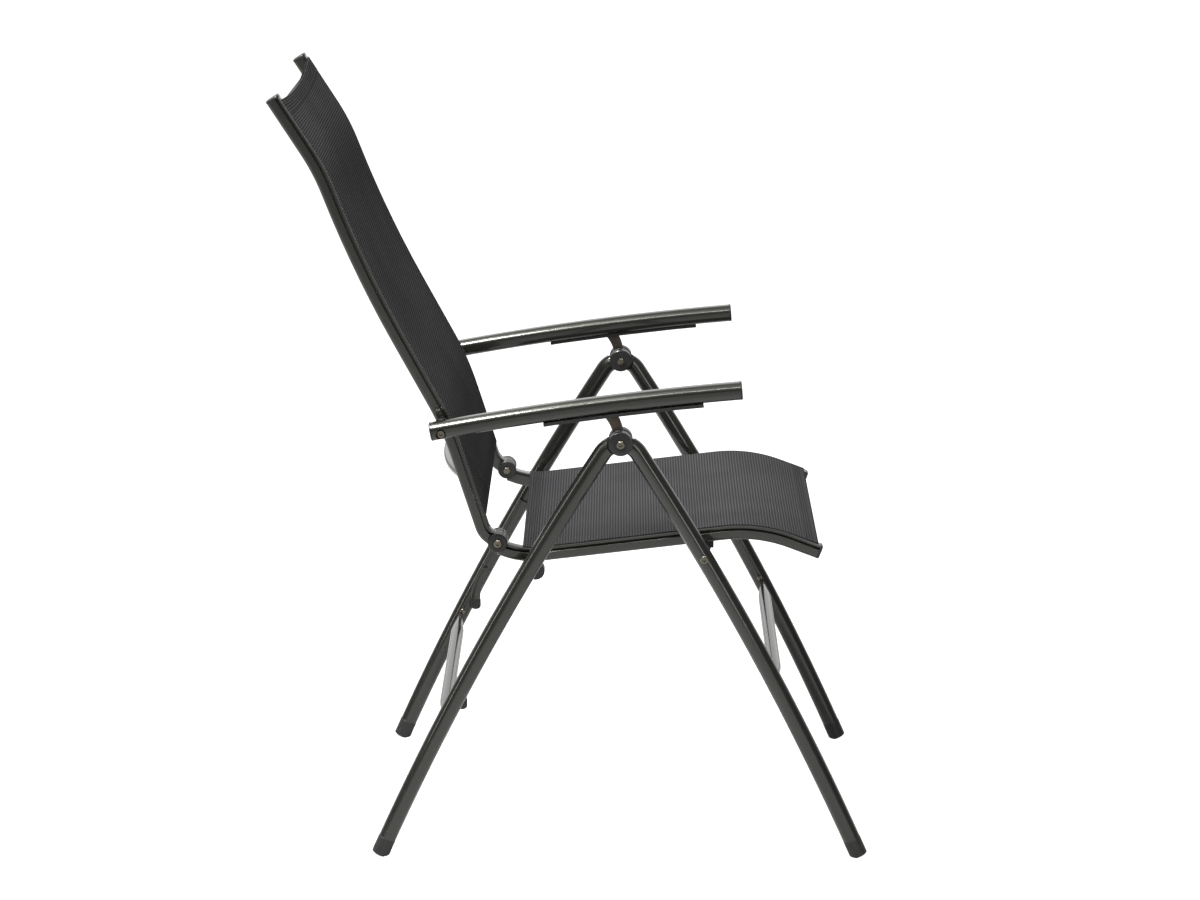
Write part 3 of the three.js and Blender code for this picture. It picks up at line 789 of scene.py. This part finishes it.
def makeBolt(name, hinge, body, node, collar=None):
    sizes, place = boltSizes, hinges[hinge]
    inner, outer = boltSpans[hinge]
    piece = turnPiece(name, place, outFrom(outer, sizes["head"]), sizes["headSides"], smoothUnder["turned"])
    combine(piece, turnPiece("tool", place, outFrom(outer, sizes["socket"]), sizes["hexSides"]), "DIFFERENCE")
    shaft = [(inner - sizes["shaftInner"], sizes["shaft"]), (outer + sizes["shaftOuter"], sizes["shaft"])]
    extras = [
        turnPiece("shaft", place, shaft, sizes["shaftSides"]),
        turnPiece("nut", place, outFrom(inner, sizes["nut"]), sizes["hexSides"], smoothUnder["nut"]),
    ]
    if collar:
        start, end, wide, edge = collar["start"], collar["end"], collar["diameter"], sizes["collarEdge"]
        profile = [(start, wide - 2 * edge), (start + edge, wide), (end - edge, wide), (end, wide - 2 * edge)]
        extras.append(turnPiece("collar", place, profile))
    joinPieces(piece, extras)
    dressPair(piece, body, boltSlot, node)


makeBolt("topBoltRight", "top", "front_frame", "top_hinge_bolt_{side}")
makeBolt("seatPivotBoltRight", "seatPivot", "front_frame", "seat_pivot_bolt_{side}", seatCollar)
makeBolt("backBoltRight", "back", "back_hinge_pins", "back_hinge_bolt_{side}")
makeBolt("armBoltRight", "arm", "arm_pivot_pins", "arm_pivot_bolt_{side}")
dressPair(turnPiece("armBushRight", hinges["arm"], armBush, smooth=smoothUnder["turned"]), "arm_pivot_pins",
          nylonSlot, "arm_pivot_bush_{side}")
print("bolts made")

# Rails: a tube with a channel on its outer side, near the sling, and the groove of the sling's edge inside.
railSizes = {
    "width": 22,
    "depth": 20,
    "corner": 5,
    "groove": 1.6,
    "grooveDepth": 3,
    "grooveHeight": 7.2,
    "grooveLip": (0.6, 0.3),
    "grooveClear": 0.4,
    "channel": (3.6, 7.4),
    "channelDepth": 6.5,
    "channelFlare": 0.3,
    "channelLip": [(0, -0.5), (-0.4, 0)],
    "brow": [(-0.8, -1.2), (-1.2, -0.4), (-2, 0)],
    "browIn": 1,
    "beforeHinge": 9,
    "hubClear": 29,
    "hubReach": 14,
    "hubGap": 2.8,
    "capExtra": 0.2,
    "capReach": (-0.2, 2.6, 3.5, 4),
    "capShares": (1, 1, 0.95, 0.84),
}


# The section for a sling on the left of the run (face 1), turned over for a sling on its right.
def railSection(face):
    sizes = railSizes
    points = barSection(sizes["width"], sizes["depth"], sizes["corner"])
    inner, outer, top = -sizes["width"] / 2, sizes["width"] / 2, sizes["depth"] / 2
    near, far = sizes["channel"]
    floor = outer - sizes["channelDepth"]
    channel = [(outer + across, near + up) for across, up in sizes["channelLip"]]
    channel += [(floor, near + sizes["channelFlare"]), (floor, far - sizes["channelFlare"])]
    channel.append((outer - sizes["browIn"], far))
    channel += [(outer + across, top + up) for across, up in sizes["brow"]]
    low = sizes["grooveHeight"] - sizes["groove"] / 2
    high = sizes["grooveHeight"] + sizes["groove"] / 2
    lipIn, lipUp = sizes["grooveLip"]
    bed = inner + sizes["grooveDepth"]
    groove = [(inner + lipIn, high + lipUp), (bed, high), (bed, low), (inner, low)]
    upperInner = [(across, up) for across, up in points if across < 0 and up > high + sizes["grooveClear"]]
    lower = [(across, up) for across, up in points if up < 0]
    section = channel + upperInner + groove + lower
    return section if face > 0 else [(across, -up) for across, up in reversed(section)]


def makeRail(part, run, face):
    sizes, plane = railSizes, planes["rail"]
    longer = [shifted(run[0], -sizes["beforeHinge"], 0)] + run
    rail = drawBar(part + "RailRight", railSection(face), longer, plane)
    clearHub(rail, "back", "rail", sizes, 1 if part == "seat" else -1)  # the seat holds the outer half
    dressPair(rail, part + "_frame", coatSlot, part + "_rail_{side}")
    extra = sizes["capExtra"]
    section = barSection(sizes["width"] + extra, sizes["depth"] + extra, sizes["corner"] + extra / 2)
    cap = drawBar(part + "CapRight", section, stretch(run[-1], sizes["capReach"]), plane, sizes["capShares"])
    dressPair(cap, part + "_frame", nylonSlot, part + "_end_cap_{side}")


makeRail("seat", seatRun, seatSizes["slingSide"])
makeRail("back", backRun, backSizes["slingSide"])
print("rails made")


# Arms: an oval tube with a crowned top, and a cap on each end.
def makeArmCap(end, place, way):
    sizes = armSizes
    section = armSection(sizes["capExtra"])
    run = stretch(place, [way * reach for reach in sizes["capReach"]])
    cap = drawBar("arm" + end + "CapRight", section, run, planes["arm"], sizes["capShares"])
    dressPair(cap, "arm_{side}", nylonSlot, "arm_" + end.lower() + "_cap_{side}")


arm = drawBar("armRight", armSection(), armRun, planes["arm"])
combine(arm, turnPiece("tool", hinges["arm"], armSizes["boltRecess"]), "DIFFERENCE")
dressPair(arm, "arm_{side}", coatSlot, "arm_tube_{side}")
makeArmCap("Front", armRun[-1], 1)
makeArmCap("Rear", armRun[0], -1)

# Hook straps, cut off just under the arm. The place under the arm is measured from the arm's rear end.
hook = {
    "strap": (5, 17.5, 1.2, 3),
    "heading": 104,
    "moves": [(18,), (60, 30)],
    "rootShare": 0.86,
    "bendShare": 0.9,
    "growShare": 0.012,
    "underArm": 254,
    "armGap": 5.7,
    "eye": [(259.5, 24), (260, 25), (264, 25), (264.5, 24)],
}


def makeHook():
    run = walkRun((*hinges["top"], hook["heading"]), hook["moves"])
    shares = [hook["rootShare"]] * 2
    shares += [hook["bendShare"] + hook["growShare"] * step for step in range(len(run) - 2)]
    strap = drawBar("hookRight", barSection(*hook["strap"]), run, planes["leg"], shares)
    end = shifted(placeAfter(armRun, hook["underArm"]), 0, -armSizes["depth"] / 2 - hook["armGap"])
    cutOff(strap, end, end[2] + math.pi / 2)
    combine(strap, turnPiece("eye", hinges["top"], hook["eye"]), "UNION")
    dressPair(strap, "hook_{side}", hookSlot, "hook_strap_{side}")


makeHook()
print("arms and hooks made")

# Cross tubes of the legs, with ends pinched to an oval tip, and a screw in each end.
cross = {
    "heights": {"front": 263.6, "rear": 207.7},
    "end": 248.95,
    "taper": 84,
    "tip": (7, 11),
    "tube": 20,
    "tipDrop": 3,
    "drop": 6,
    "steps": 9,
    "sides": 48,
    "screwRise": 5.5,
    "screw": [(248.95, 7), (247.9, 8.6), (246.9, 8.2), (246.2, 6.6), (245.9, 4)],
    "screwSides": 24,
}


def makeCross(part):
    place = legPlace(legSides[part], legSlopeAt(cross["heights"][part]))
    rings = []
    for step in range(cross["steps"] + 1):
        share = step / cross["steps"]
        swell = share * share * (3 - 2 * share)  # starts and ends gently
        x, z, heading = shifted(place, cross["tipDrop"] + (cross["drop"] - cross["tipDrop"]) * swell, 0)
        sizes = [tip + (cross["tube"] - tip) * swell for tip in cross["tip"]]
        rings.append((x, cross["end"] - cross["taper"] * share, z, *sizes))
    rings = [(x, -out, z, wide, tall) for x, out, z, wide, tall in rings] + rings[::-1]
    x, out, z, wide, tall = rings[0]
    unit = roundSection(1, cross["sides"])
    piece = startPiece(part + "Cross", [(x + wide * across, out, z + tall * up) for across, up in unit])
    for last, ring in zip(rings, rings[1:]):
        extrudeBy(ring[0] - last[0], ring[1] - last[1], ring[2] - last[2])
        if ring[3:] != last[3:]:
            resizeAt(ring[:3], ring[3] / last[3], ring[4] / last[4])
    closePiece(piece, smoothUnder["cut"])
    dress(piece, part + "_frame", *coatSlot, part + "_cross_tube")
    screw = turnPiece(part + "CrossScrew", shifted(place, -cross["screwRise"], 0), cross["screw"],
                      cross["screwSides"], smoothUnder["turned"])
    dressPair(screw, part + "_frame", boltSlot)


for part in legSides:
    makeCross(part)

# The straight round bars between the rails; up is how far a bar stands to the left of the run.
spreader = {
    "tube": 16,
    "edge": 0.6,
    "edgeTube": 15,
    "railGap": 0.3,
    "sides": 40,
    "frontShare": 0.9,
    "rearShare": 0.36,
    "seatUp": -3,
    "backFromEnd": 128.8,
    "backUp": 3,
}


def makeSpreader(name, run, distance, up, body, node):
    end = planes["rail"] - railSizes["width"] / 2 - spreader["railGap"]
    half = [(end, spreader["edgeTube"]), (end - spreader["edge"], spreader["tube"])]
    profile = [(-out, wide) for out, wide in half] + half[::-1]
    place = shifted(placeAfter(run, distance), 0, up)
    dress(turnPiece(name, place, profile, spreader["sides"]), body, *coatSlot, node)


seatLength, backLength = runLength(seatRun), runLength(backRun)
makeSpreader("seatFrontBar", seatRun, spreader["frontShare"] * seatLength, spreader["seatUp"],
             "seat_frame", "seat_front_spreader")
makeSpreader("seatRearBar", seatRun, spreader["rearShare"] * seatLength, spreader["seatUp"],
             "seat_frame", "seat_rear_spreader")
makeSpreader("backHighBar", backRun, backLength - spreader["backFromEnd"], spreader["backUp"],
             "back_frame", "back_high_bar")

# The bar low on the back bows towards the rear; its bow is a parabola that starts in the rails' planes.
lowBar = {"along": 95.3, "railGap": 0.3, "bow": 34, "tube": 15, "sides": 36, "steps": 28}


def makeLowBar():
    x, z, heading = placeAfter(backRun, lowBar["along"])
    reach = planes["rail"]
    end = reach - railSizes["width"] / 2 - lowBar["railGap"]
    places = []
    for out in spread(-end, end, lowBar["steps"]):
        share = (out + reach) / (2 * reach)
        places.append((out, 4 * lowBar["bow"] * share * (1 - share)))
    out, bow = places[0]
    startX, startZ, heading = shifted((x, z, heading), 0, bow)
    section = roundSection(lowBar["tube"], lowBar["sides"])
    bar = startPiece("lowBar", [(startX + across, out, startZ + up) for across, up in section])
    for (lastOut, lastBow), (out, bow) in zip(places, places[1:]):
        step = bow - lastBow
        extrudeBy(-step * math.sin(heading), out - lastOut, step * math.cos(heading))
    dress(closePiece(bar), "back_frame", *coatSlot, "back_low_bar")


makeLowBar()

# Stay bars inside the rear legs, with a rubber end and a screw. Places of the screw are from the bar's plane.
stay = {
    "legGap": 0.3,
    "width": 4,
    "depth": 15,
    "corner": 1,
    "cornerSteps": 3,
    "edge": 0.3,
    "edgeSteps": 2,
    "top": 394,
    "knee": 268,
    "upperSteps": 8,
    "lowerMoves": [(70, 28, 4), (11,)],
    "tip": (4.9, 16.2, 1.4, 3),
    "tipInwards": 0.35,
    "tipReach": (-9, -8.4, 2, 4.5, 6.3, 7.3, 7.5),
    "tipShares": (0.96, 1, 1, 0.86, 0.6, 0.3, 0.1),
    "screwHeight": 284,
    "screw": [(-4.4, 6), (-4, 8.4), (-2, 9)],
    "screwSides": 24,
}


def makeStay():
    plane = planes["leg"] - legSizes["tube"] / 2 - stay["legGap"] - stay["width"] / 2
    slopes = spread(legSlopeAt(stay["top"]), legSlopeAt(stay["knee"]), stay["upperSteps"])
    upper = [legPlace(legSides["rear"], slope) for slope in slopes]
    x, z, heading = upper[-1]
    lower = walkRun((x, z, math.degrees(heading)), stay["lowerMoves"])
    section = barSection(stay["width"], stay["depth"], stay["corner"], stay["cornerSteps"])
    bar = drawBar("stayRight", section, upper + lower[1:], plane)
    softenEdges(bar, stay["edge"], stay["edgeSteps"])
    tip = drawBar("stayTip", barSection(*stay["tip"]), stretch(lower[-1], stay["tipReach"]),
                  plane - stay["tipInwards"], stay["tipShares"])
    screw = turnPiece("stayScrew", placeAtHeight(upper[::-1], stay["screwHeight"]),
                      outFrom(plane, stay["screw"]), stay["screwSides"])
    dressPair(bar, "rear_frame", coatSlot, "stay_bar_{side}")
    dressPair(tip, "rear_frame", rubberSlot)
    dressPair(screw, "rear_frame", coatSlot)


makeStay()
print("bars made")

# Slings: a thin cloth drawn along the rails and over their faces, with a folded hem at each end.
slingSizes = {
    "width": 424,
    "columns": 40,
    "rise": 10.95,
    "thick": 1.5,
    "rings": 64,
    "hem": 24,
    "hemWidth": 423,
    "hemThick": 2.3,
    "hemInset": 0.2,
    "hemRings": 12,
    "hemEdge": 0.5,
    "hemEdgeSteps": 2,
    "scoopReach": 60,
}


def slingSection(thick, width):
    top = [(across, thick / 2) for across in spread(width / 2, -width / 2, slingSizes["columns"])]
    return top + [(across, -thick / 2) for across, up in reversed(top)]


# Draws cloth along places; clothRun tells its finish how far each point is from the start of the sling.
def drawCloth(name, section, places, distances, scoop):
    cloth = drawBar(name, section, places, 0)
    layer = cloth.data.attributes.new("clothRun", "FLOAT", "POINT")
    last = len(distances) - 1
    for index, vertex in enumerate(cloth.data.vertices):
        ring = min(index // len(section), last)
        layer.data[index].value = distances[ring] * mm
        share = max(0, 1 - (distances[last] - distances[ring]) / slingSizes["scoopReach"])
        across = vertex.co.y / (slingSizes["width"] * mm / 2)
        pull = scoop * (1 - across * across) * share * mm
        heading = places[ring][2]
        vertex.co.x -= pull * math.cos(heading)
        vertex.co.z -= pull * math.sin(heading)
    return cloth


def makeSling(name, run, sizes, body, node):
    start, rise = sizes["slingStart"], sizes["slingSide"] * slingSizes["rise"]
    hem, inset = slingSizes["hem"], slingSizes["hemInset"]
    length = runLength(run) - sizes["slingEnd"] - start
    places = [shifted(place, 0, rise) for place in evenRun(run, start, start + length, slingSizes["rings"])]
    material = clothFinish(name + "Cloth", length * mm, weave)
    cloth = drawCloth(name, slingSection(slingSizes["thick"], slingSizes["width"]), places,
                      spread(0, length, slingSizes["rings"]), sizes["slingScoop"])
    dress(cloth, body, material, "sling_cloth", node)
    for title, low, high, scoop in (("Start", 0, hem, 0), ("End", length - hem, length, sizes["slingScoop"])):
        spots = evenRun(run, start + low + inset, start + high - inset, slingSizes["hemRings"])
        spots = [shifted(spot, 0, rise) for spot in spots]
        piece = drawCloth(name + title + "Hem", slingSection(slingSizes["hemThick"], slingSizes["hemWidth"]),
                          spots, spread(low, high, slingSizes["hemRings"]), scoop)
        softenEdges(piece, slingSizes["hemEdge"], slingSizes["hemEdgeSteps"])
        dress(piece, body, material, "sling_cloth")
    print(name, "made,", round(length, 1), "mm long")


makeSling("seatSling", seatRun, seatSizes, "seat_frame", "seat_sling")
makeSling("backSling", backRun, backSizes, "back_frame", "back_sling")

# CAD pieces that stay in view: the brackets and blocks of the seat, and the racks of the arms.
for title in ("seat_pivot_bracket", "seat_block", "arm_rack"):
    for side in ("right", "left"):
        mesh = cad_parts[title + "_" + side].data
        mesh.materials.clear()
        mesh.materials.append(materials["hingeNylon"])

# The stage: a pale floor, soft lamps, the studio round them and the camera. Its lengths are metres.
floorSizes = {
    "size": 24,
    "place": (0, 4, 0),
    "dark": (0.3, 0.3, 0.3),
    "light": (0.33, 0.33, 0.33),
    "clouds": (1.5, 3),
    "rough": 0.6,
    "gloss": 0.1,
    "glow": 0.96,
    "mirrored": 0.12,
}


def makeFloor():
    bpy.ops.object.select_all(action="DESELECT")
    bpy.ops.mesh.primitive_plane_add(size=floorSizes["size"], location=floorSizes["place"])
    floor = bpy.context.object
    floor.name = "floor"
    bpy.ops.object.transform_apply(location=True, rotation=True, scale=True)
    material, tree, shader = startMaterial("paleFloor", floorSizes["rough"], 0)
    clouds = noiseNode(tree, tree.nodes.new("ShaderNodeTexCoord").outputs["Object"], *floorSizes["clouds"])
    base = mixColours(tree, clouds, floorSizes["dark"], floorSizes["light"])
    tree.links.new(base, shader.inputs["Base Color"])
    shader.inputs["Specular IOR Level"].default_value = floorSizes["gloss"]
    path = tree.nodes.new("ShaderNodeLightPath")
    mirrored = mathNode(tree, "MULTIPLY", path.outputs["Is Glossy Ray"], floorSizes["mirrored"])
    shown = mathNode(tree, "MULTIPLY", path.outputs["Is Camera Ray"], floorSizes["glow"])
    shader.inputs["Emission Color"].default_value = (1, 1, 1, 1)
    tree.links.new(mathNode(tree, "MAXIMUM", shown, mirrored), shader.inputs["Emission Strength"])
    floor.data.materials.append(material)


lamps = {
    "softTop": {"place": (-1.3, -0.5, 3.2), "aim": (0, 0, 0.5), "size": (3, 0.4), "power": 270},
    "softFront": {"place": (-0.2, -2.7, 3.4), "aim": (0, 0, 0.5), "size": (4, 0.16), "power": 55},
    "softLeft": {"place": (-3.2, -1.2, 1.8), "aim": (0, 0, 0.6), "size": (0.3, 2.6), "power": 16},
    "softRight": {"place": (2.3, -3.8, 1.5), "aim": (0, 0, 0.5), "size": (0.5, 2.8), "power": 20},
}


def makeLamp(name, sizes):
    bpy.ops.object.light_add(type="AREA", location=sizes["place"])
    lamp = bpy.context.object
    lamp.name = name
    lamp.data.shape = "RECTANGLE"
    lamp.data.size, lamp.data.size_y = sizes["size"]
    lamp.data.energy = sizes["power"]
    lamp.rotation_euler = (Vector(sizes["aim"]) - Vector(sizes["place"])).to_track_quat("-Z", "Y").to_euler()


# The studio grows lighter upwards. Shiny faces see a white wall behind the chair, dull faces get some light
# from its front, and the camera sees white.
studio = {
    "domeRange": (0.1, 0.95),
    "domeLight": (0.08, 0.34),
    "wallRange": (0.3, 0.85),
    "fillRange": (0, 0.8),
    "fillLight": 0.85,
}


def makeStudio():
    world = bpy.data.worlds.new("studio")
    bpy.context.scene.world = world
    world.use_nodes = True
    tree = world.node_tree
    path = tree.nodes.new("ShaderNodeLightPath")
    parts = tree.nodes.new("ShaderNodeSeparateXYZ")
    tree.links.new(tree.nodes.new("ShaderNodeTexCoord").outputs["Generated"], parts.inputs[0])
    dome = mapRange(tree, parts.outputs["Z"], *studio["domeRange"], *studio["domeLight"])
    wall = mapRange(tree, parts.outputs["Y"], *studio["wallRange"])
    wall = mathNode(tree, "MULTIPLY", wall, path.outputs["Is Glossy Ray"])
    fill = mapRange(tree, parts.outputs["X"], *studio["fillRange"], 0, studio["fillLight"])
    light = mathNode(tree, "MULTIPLY_ADD", fill, path.outputs["Is Diffuse Ray"],
                     mathNode(tree, "MAXIMUM", dome, wall))
    light = mathNode(tree, "MAXIMUM", path.outputs["Is Camera Ray"], light)
    background = tree.nodes["Background"]
    background.inputs["Color"].default_value = (1, 1, 1, 1)
    tree.links.new(light, background.inputs["Strength"])


cameraSizes = {
    "place": (0.0647, -5.0065, 1.8284),
    "yaw": 0.33,
    "pitch": 14.43,
    "roll": 0.08,
    "lens": 104.2,
    "sensor": 36,
}


def makeCamera():
    bpy.ops.object.camera_add()
    camera = bpy.context.object
    camera.name = "photoView"
    turned = Matrix.Rotation(math.radians(cameraSizes["yaw"]), 4, "Z")
    turned = turned @ Matrix.Rotation(math.radians(90 - cameraSizes["pitch"]), 4, "X")
    turned = turned @ Matrix.Rotation(math.radians(cameraSizes["roll"]), 4, "Z")
    camera.matrix_world = Matrix.Translation(cameraSizes["place"]) @ turned
    camera.data.lens = cameraSizes["lens"]
    camera.data.sensor_width = cameraSizes["sensor"]
    bpy.context.scene.camera = camera


makeFloor()
for name, sizes in lamps.items():
    makeLamp(name, sizes)
makeStudio()
makeCamera()
bpy.context.scene.view_settings.view_transform = "Standard"
bpy.context.view_layer.update()
print("stage made")
